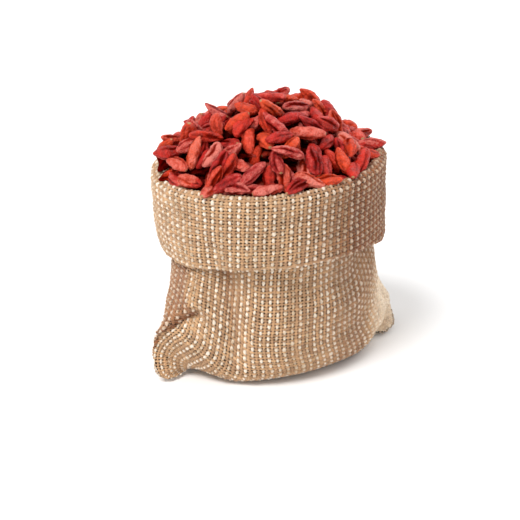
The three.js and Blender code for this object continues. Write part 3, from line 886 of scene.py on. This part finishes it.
def berry_shapes(berries, rings, spokes, seed):
    """Wrinkled skins of all the berries: their points, how deep each point lies in a fold, and
    how far along the berry it is."""
    rng = np.random.default_rng(seed)
    count = len(berries)

    def column(key):
        return np.array([b[key] for b in berries])[:, None, None]

    def drawn(low, high):
        return rng.uniform(low, high, count)[:, None, None]

    t = -np.cos(np.pi * (np.arange(rings) + 0.35) / (rings - 0.3))[None, :, None]
    angle = 2 * np.pi * np.arange(spokes)[None, None, :] / spokes
    skew = drawn(-0.2, 0.2)
    body = berry_profile(np.clip(t + skew * (1 - t * t), -1, 1)) ** drawn(0.7, 0.9)
    beak = 1 - drawn(0, 0.38) * smoothstep(0.2, 0.95, t)
    tail = 1 - drawn(0, 0.15) * smoothstep(0.4, 0.95, -t)
    waist = 1 - drawn(0, 0.16) * bell(t - drawn(-0.5, 0.5), 0.22)

    depth = np.zeros((count, rings, spokes))
    for least, most, breadth in FOLDS:
        path = drawn(0, 2 * np.pi) + drawn(-0.5, 0.5) * t
        path = path + drawn(-0.28, 0.28) * np.sin(3.5 * t + drawn(0, 6))
        away = np.mod(angle - path + np.pi, 2 * np.pi) - np.pi
        reach = 0.35 + 0.65 * bell(t - drawn(-0.6, 0.6), drawn(0.35, 1.0))
        depth += drawn(least, most) * bell(away, breadth) * reach
    fine = np.zeros_like(depth)
    for lobes, rate in RIPPLES:
        fine += 0.04 * np.sin(lobes * angle + rate * t + drawn(0, 6)) * drawn(0.4, 1.4)
    fade = np.clip(1 - t**8, 0, 1)
    r = column("width") / 2 * body * beak * tail * waist * (1.07 - (depth - fine) * fade)

    roll = column("roll")
    along = t * column("length") / 2
    bend = 1 - t * t
    beside = r * np.cos(angle + roll) + 1.4 * column("bend") * bend
    above = r * column("flat") * drawn(0.88, 1) * np.sin(angle + roll) + drawn(-0.9, 0.9) * bend
    yaw, pitch = column("yaw"), column("pitch")
    forward = along * np.cos(pitch) - above * np.sin(pitch)
    x = column("x") + forward * np.cos(yaw) - beside * np.sin(yaw)
    y = column("y") + forward * np.sin(yaw) + beside * np.cos(yaw)
    z = column("z") + along * np.sin(pitch) + above * np.cos(pitch)
    points = np.stack([x, y, z], -1)
    return close_ends(points), close_ends(depth * fade), close_ends(np.broadcast_to(t, depth.shape))


def close_ends(rings):
    """Flattens ring after ring to one list for each berry, and adds the middle of its two ends."""
    count = len(rings)
    flat = rings.reshape(count, -1, *rings.shape[3:])
    return np.concatenate([flat, rings[:, :1].mean(2), rings[:, -1:].mean(2)], 1)


def berry_faces(count, rings, spokes):
    """Triangles of all berries: bands between rings, and a fan at each end."""
    per = rings * spokes + 2
    index = np.arange(rings * spokes).reshape(rings, spokes)
    beside = np.roll(index, -1, 1)
    a, b, c, d = index[:-1], beside[:-1], beside[1:], index[1:]
    bands = [np.stack([a, c, b], -1).reshape(-1, 3), np.stack([a, d, c], -1).reshape(-1, 3)]
    tail, tip = np.full(spokes, per - 2), np.full(spokes, per - 1)
    ends = [np.stack([tail, index[0], beside[0]], -1), np.stack([tip, beside[-1], index[-1]], -1)]
    one = np.concatenate(bands + ends)
    return (one[None] + per * np.arange(count)[:, None, None]).reshape(-1, 3)


def make_berries(name, berries, rings, spokes, seed, material):
    """One piece that holds all the given berries. Sunk says how far below the heap's face a point
    of a skin lies, from 0 to 1."""
    points, depth, along = berry_shapes(berries, rings, spokes, seed)
    rng = np.random.default_rng(seed + 1)
    size = points.shape[1]
    bloom = np.clip(rng.normal(0.35, 0.33, len(berries)), 0, 1)
    x, y, z = points.reshape(-1, 3).T
    floats = {
        # Sunk is the mask of the painted shade deep in the heap.
        "sunk": np.clip((heap_height(x, y) + 0.6 - z) / 4.2, 0, 1),
        "fold_depth": depth.ravel(),
        "along": along.ravel(),
        "bloom": np.repeat(bloom, size),
        "tone": np.repeat(rng.uniform(0, 1, len(berries)), size),
    }
    faces = berry_faces(len(berries), rings, spokes)
    piece = add_mesh(name, points.reshape(-1, 3), faces, material, None, floats)
    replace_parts(piece, "berries")
    return piece


def berry_material(name, brightness):
    """Dried skin: crimson in the folds and orange red on the ridges, partly its own colour and partly
    painted shade and light; a pale bloom, partly real and partly painted highlight; a scar where the
    stalk was; and painted shade, darker and duller, where it is sunk in the heap."""
    n = Nodes(name)
    tone = n.attribute("tone")
    deep = n.ramp(tone, FOLD_SKIN_AND_SHADE)
    bright = n.ramp(tone, RIDGE_SKIN_AND_LIGHT)
    patches = n.math("MULTIPLY", n.math("SUBTRACT", n.noise(300, 4, None, 0.55), 0.5), 1.7)
    # Fold depth darkens the skin: partly its own colour, partly painted shade in the folds and light on
    # the ridges.
    height = n.math("ADD", n.math("MULTIPLY", n.attribute("fold_depth"), -3.2), 0.8)
    base = n.mix(n.ramp(n.math("ADD", height, patches), [(0, grey(0)), (1, grey(1))]), deep, bright)
    # Pale speckled bloom on the ridges, partly real and partly painted highlight.
    speckle = n.math("MULTIPLY", n.noise(1500, 3, None, 0.7), n.noise(300, 2))
    bloom = n.math("MULTIPLY", n.attribute("bloom"), height)
    bloom_and_highlight = n.math("MULTIPLY", bloom, n.math("MULTIPLY", speckle, 3.5))
    base = n.mix(n.ramp(bloom_and_highlight, [(0.26, grey(0)), (0.62, grey(0.7))]), base, BLOOM_AND_HIGHLIGHT)
    scar = n.ramp(n.math("ADD", n.attribute("along"), 1.0), [(0.012, grey(1)), (0.03, grey(0))])
    base = n.mix(scar, base, SCAR)
    # Painted shade where the skin is sunk in the heap.
    base = n.mix(n.attribute("sunk"), base, SHADED, "MULTIPLY")
    # A brightness below 1 is painted shade over a whole layer of berries.
    n.link(n.mix(1.0, base, grey(brightness), "MULTIPLY"), "Base Color")
    rough = n.ramp(n.noise(600, 4), [(0.35, grey(0.28)), (0.65, grey(0.5))])
    n.link(rough, "Roughness")
    open_skin = n.math("SUBTRACT", n.math("MAXIMUM", height, 0.0), n.attribute("sunk"))
    n.link(n.math("MULTIPLY", n.math("MAXIMUM", open_skin, 0.0), 0.6), "Specular IOR Level")
    fine = n.math("ADD", n.noise(1300, 4), n.math("MULTIPLY", n.noise(560, 3), 1.6))
    bump = n.add("ShaderNodeBump", {"Height": fine, "Strength": 1.0, "Distance": 0.0014})
    n.link(bump.outputs[0], "Normal")
    return n.material


def make_core(material):
    """Dark lumpy floor under the berries, painted shade seen only through the gaps between them."""
    rings, spokes = 26, 96
    rho = np.linspace(0.03, 0.985, rings)[:, None]
    angle = 2 * np.pi * np.arange(spokes)[None, :] / spokes
    x = 0.8 + (MOUTH_X - 2.6) * rho * np.cos(angle)
    y = (MOUTH_Y - 3) * rho * np.sin(angle)
    lumps = 1.2 * np.sin(0.9 * x + 0.4 * y) * np.cos(0.8 * y - 0.3 * x)
    sunk = smoothstep(0.7, 0.95, rho)
    z = heap_height(x, y) - 10.5 - 6 * sunk + RIM_TILT * towards_right(x, y) * sunk + lumps
    points = np.stack([x, y, z], -1).reshape(-1, 3)
    index = np.arange(rings * spokes).reshape(rings, spokes)
    beside = np.roll(index, -1, 1)
    quads = np.stack([index[:-1], index[1:], beside[1:], beside[:-1]], -1).reshape(-1, 4)
    piece = add_mesh("heap_core", points, quads, material)
    return piece


def core_material():
    n = Nodes("berries_below_in_painted_shade")
    # Near black: painted shade for the depths of the heap.
    base = n.ramp(n.noise(260, 4), [(0.3, (0.03, 0.001, 0.001)), (0.75, (0.12, 0.006, 0.004))])
    n.link(base, "Base Color")
    n.value("Specular IOR Level", 0.1)
    n.value("Roughness", 0.8)
    return n.material


def make_floor():
    bpy.ops.mesh.primitive_plane_add(size=60, location=(0, 0, 0))
    floor = bpy.context.object
    floor.name = "floor"
    n = Nodes("studio_floor")
    n.value("Base Color", (0.95, 0.95, 0.95, 1))
    n.value("Roughness", 0.9)
    n.value("Specular IOR Level", 0.1)
    floor.data.materials.append(n.material)


def add_sun(name, direction, softness, power):
    """Sunlight from a direction, as soft as a lamp of that many degrees across."""
    data = bpy.data.lights.new(name, "SUN")
    data.angle = math.radians(softness)
    data.energy = power
    light = bpy.data.objects.new(name, data)
    light.rotation_euler = Vector(direction).to_track_quat("Z", "Y").to_euler()
    bpy.context.scene.collection.objects.link(light)


def make_lights():
    world = bpy.data.worlds.new("studio")
    world.use_nodes = True
    background = world.node_tree.nodes["Background"]
    background.inputs["Color"].default_value = (1, 1, 1, 1)
    background.inputs["Strength"].default_value = 0.72
    bpy.context.scene.world = world
    add_sun("key", (-0.7, -0.24, 1.12), 24, 2.35)
    add_sun("back", (0.9, 0.4, 0.6), 40, 0.8)


def make_camera():
    """Camera at the photograph's angle, aimed so that the rim's middle falls at its pixel."""
    azimuth, elevation = math.radians(AZIMUTH), math.radians(ELEVATION)
    level = math.cos(elevation)
    back = Vector((math.sin(azimuth) * level, -math.cos(azimuth) * level, math.sin(elevation)))
    right = Vector((math.cos(azimuth), math.sin(azimuth), 0))
    up = back.cross(right)
    rim = Vector((shift[0] * MM, shift[1] * MM, RIM_MIDDLE))
    place = rim + back * DISTANCE
    across, down = RIM_PIXEL[0] - MIDDLE_PIXEL, MIDDLE_PIXEL - RIM_PIXEL[1]
    aim = rim - right * across * PIXEL - up * down * PIXEL
    data = bpy.data.cameras.new("camera")
    data.sensor_width = 36
    data.lens = LENS
    camera = bpy.data.objects.new("camera", data)
    camera.location = place
    camera.rotation_euler = (place - aim).to_track_quat("Z", "Y").to_euler()
    bpy.context.scene.collection.objects.link(camera)
    bpy.context.scene.camera = camera


def placement():
    """Shift from the loft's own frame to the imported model's, in millimetres."""
    low, high = (np.array(corner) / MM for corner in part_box("sack"))
    shares = np.linspace(0, 1, 57)
    ears = np.concatenate([
        body_points(shares, front, level)[:, 0] for front in (True, False) for level in (10, 22, 36)
    ])
    cuff = np.concatenate([cuff_points(shares, front, 18.0)[:, 1] for front in (True, False)])
    middle_x = (ears.min() + ears.max()) / 2
    middle_y = (cuff.min() + cuff.max()) / 2
    return np.array([(low[0] + high[0]) / 2 - middle_x, (low[1] + high[1]) / 2 - middle_y, 0])


shift = placement()
make_camera()
make_lights()
make_floor()

yarns = {
    "white": yarn_material("yarn_white", 0.65, *WHITE_YARN),
    "tan": yarn_material("yarn_tan", 1.15, *TAN_YARN),
    "weft": yarn_material("yarn_weft", 1.15, *WEFT_YARN),
    "fibre": yarn_material("yarn_fibre", 0.6, *FIBRE_YARN),
    "ground": ground_material(),
}
body_cloth = sheet_grid(body_points, body_painted_light_shade_and_brown, np.arange(0, BODY_TOP + ROW, ROW), True)
cuff_cloth = sheet_grid(cuff_points, cuff_painted_shade, np.arange(CUFF_FROM, CUFF_TO, ROW), False)
cloth_pieces = weave_sheet("body", *body_cloth, 1, 3, yarns)
cloth_pieces += weave_sheet("cuff", *cuff_cloth, -1, 4, yarns)
cloth_pieces += [
    make_fibres("body_fibres", body_cloth, BODY_FIBRE_ROWS, 1, 5, yarns["fibre"]),
    make_fibres("cuff_fibres", cuff_cloth, CUFF_FIBRE_ROWS, -1, 6, yarns["fibre"]),
]
for piece in cloth_pieces:
    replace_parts(piece, "sack")

skin = berry_material("dried_berry_skin", 1.0)
# A half-bright copy of the skin: painted shade on the layer below.
shaded_skin_below = berry_material("dried_berry_painted_shade_below", 0.5)
heap = loosened(lay_out_berries(1.9, 300)) + rim_berries()
for group, letter in enumerate("abc"):
    make_berries("heap_berries_" + letter, heap[group::3], 28, 34, 10 * group, skin)
make_berries("heap_berries_below", lower_berries(), 14, 16, 40, shaded_skin_below)
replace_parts(make_core(core_material()), "berries")

scene = bpy.context.scene
scene.view_settings.view_transform = "Standard"
